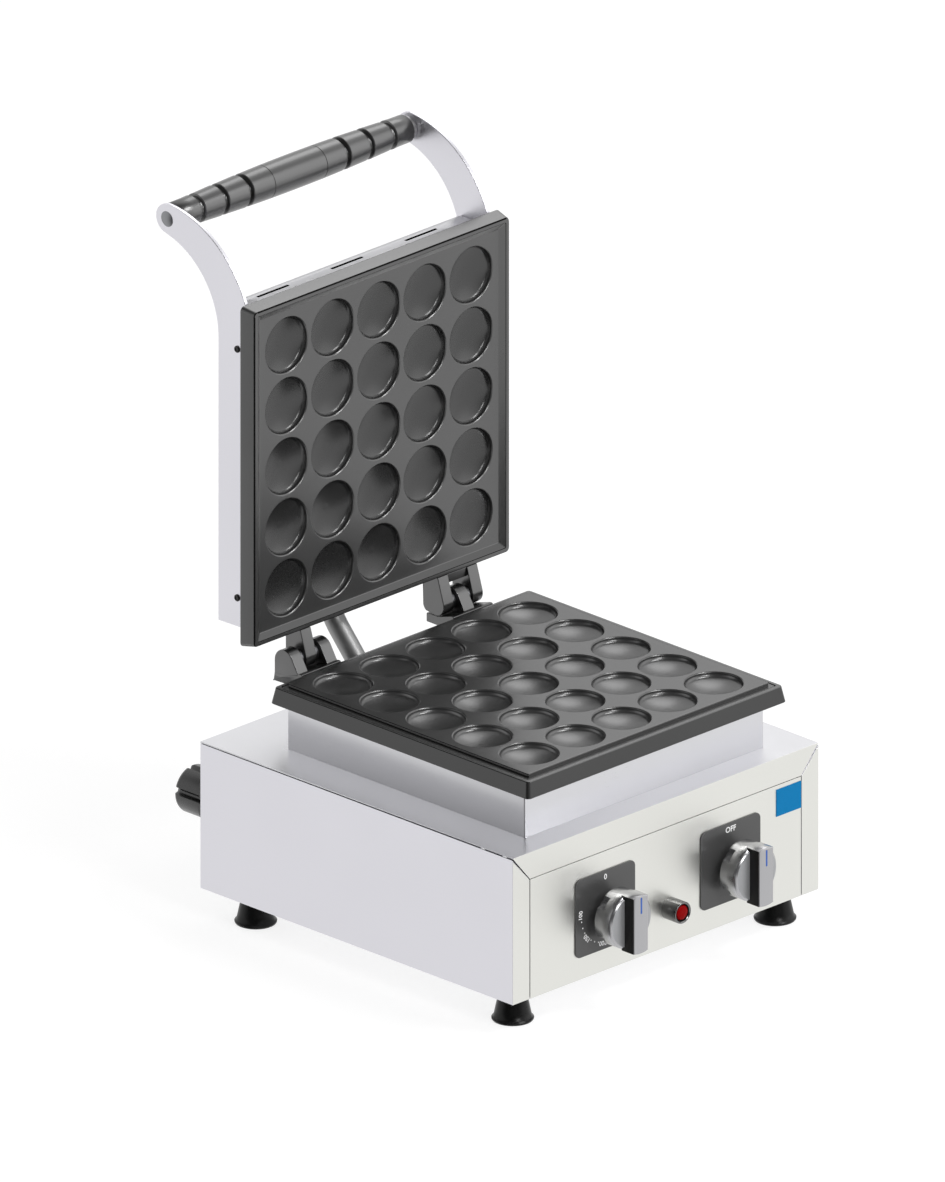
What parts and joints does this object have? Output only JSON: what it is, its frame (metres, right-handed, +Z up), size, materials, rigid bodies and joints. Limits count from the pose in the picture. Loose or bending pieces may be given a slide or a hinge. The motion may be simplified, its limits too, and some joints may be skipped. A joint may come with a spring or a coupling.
{
  "type": "countertop mini pancake maker",
  "caption": "Countertop mini pancake maker: steel base on rubber feet, cast baking plate with round wells, hinged lid with a matching plate, curved arms and grip, dial knobs and a cable gland.",
  "frame": {"origin": "on the table, below the middle of the outline seen from above, with the lid standing open", "axes": "+Z up, +Y to the back (lid and hinge side), +X to the right of a person who faces the knobs"},
  "size_m": [0.31, 0.4294, 0.5249],
  "materials": {
    "sheet_steel": "fine brushed",
    "bright_steel": "smooth",
    "zinc_screws": "zinc plated",
    "black_screws": "black oxide",
    "baking_plate": "dark non-stick coating, satin",
    "hinge_casting": "as cast, satin",
    "rubber": "matte",
    "black_plastic": "satin",
    "grip": "satin black",
    "dial": "printed, satin",
    "knob_metal": "satin",
    "red_lens": "glossy",
    "blue_sticker": "plain",
    "white_plastic": "matte",
    "control_housing": "matte",
    "heater": "dull",
    "insulation": "soft mineral wool",
    "copper": "drawn copper",
    "brass": "plain",
    "wire_cover": "matte silicone"
  },
  "bodies": {
    "base": {"base_top_panel": "sheet_steel", "base_side_left": "sheet_steel", "base_side_right": "sheet_steel", "base_back_panel": "sheet_steel", "base_bottom_plate": "sheet_steel", "control_panel": "sheet_steel", "base_screws": "zinc_screws", "foot_front_left": "rubber", "foot_front_right": "rubber", "foot_back_left": "rubber", "foot_back_right": "rubber", "foot_studs": "zinc_screws", "collar": "sheet_steel", "lower_plate": "baking_plate", "lower_heater": "heater", "lower_insulation": "insulation", "lower_retainer": "sheet_steel", "lower_retainer_screws": "zinc_screws", "thermostat_body": "control_housing", "thermostat_probe": "copper", "thermostat_dial_plate": "dial", "switch_body": "control_housing", "switch_dial_plate": "dial", "control_nuts": "zinc_screws", "pilot_lamp_bezel": "knob_metal", "pilot_lamp_lens": "red_lens", "pilot_lamp_body": "white_plastic", "front_badge": "blue_sticker", "terminal_block": "white_plastic", "terminal_screws": "brass", "wiring": "wire_cover", "gland_body": "black_plastic", "gland_seal": "rubber", "gland_nut": "black_plastic", "gland_locknut": "black_plastic", "conduit": "bright_steel", "conduit_base_nut": "bright_steel", "lower_hinge_left": "hinge_casting", "lower_hinge_right": "hinge_casting", "hinge_pin_left": "bright_steel", "hinge_pin_right": "bright_steel", "hinge_spacers": "zinc_screws", "lower_hinge_screws": "black_screws"},
    "lid": {"upper_plate": "baking_plate", "upper_heater": "heater", "upper_insulation": "insulation", "upper_retainer": "sheet_steel", "upper_retainer_screws": "zinc_screws", "upper_hinge_left": "hinge_casting", "upper_hinge_right": "hinge_casting", "upper_hinge_screws": "black_screws", "lid_cover": "sheet_steel", "side_plate_left": "sheet_steel", "side_plate_right": "sheet_steel", "side_plate_screws": "black_screws", "handle_rod": "bright_steel", "handle_grip": "grip", "handle_rings": "bright_steel"},
    "thermostat_knob_body": {"thermostat_knob": "knob_metal"},
    "switch_knob_body": {"switch_knob": "knob_metal"}
  },
  "joints": [
    {"name": "lid_hinge", "type": "hinge", "parent": "base", "child": "lid", "pos_m": [0, 0.1111, 0.1878], "axis": [1, 0, 0], "range_deg": [0, 90], "deforming": ["conduit"]},
    {"name": "thermostat_turn", "type": "hinge", "parent": "base", "child": "thermostat_knob_body", "pos_m": [-0.062, -0.1775, 0.069], "axis": [0, -1, 0], "range_deg": [0, 270]},
    {"name": "switch_turn", "type": "hinge", "parent": "base", "child": "switch_knob_body", "pos_m": [0.065, -0.1775, 0.069], "axis": [0, 1, 0], "range_deg": [0, 90]}
  ]
}
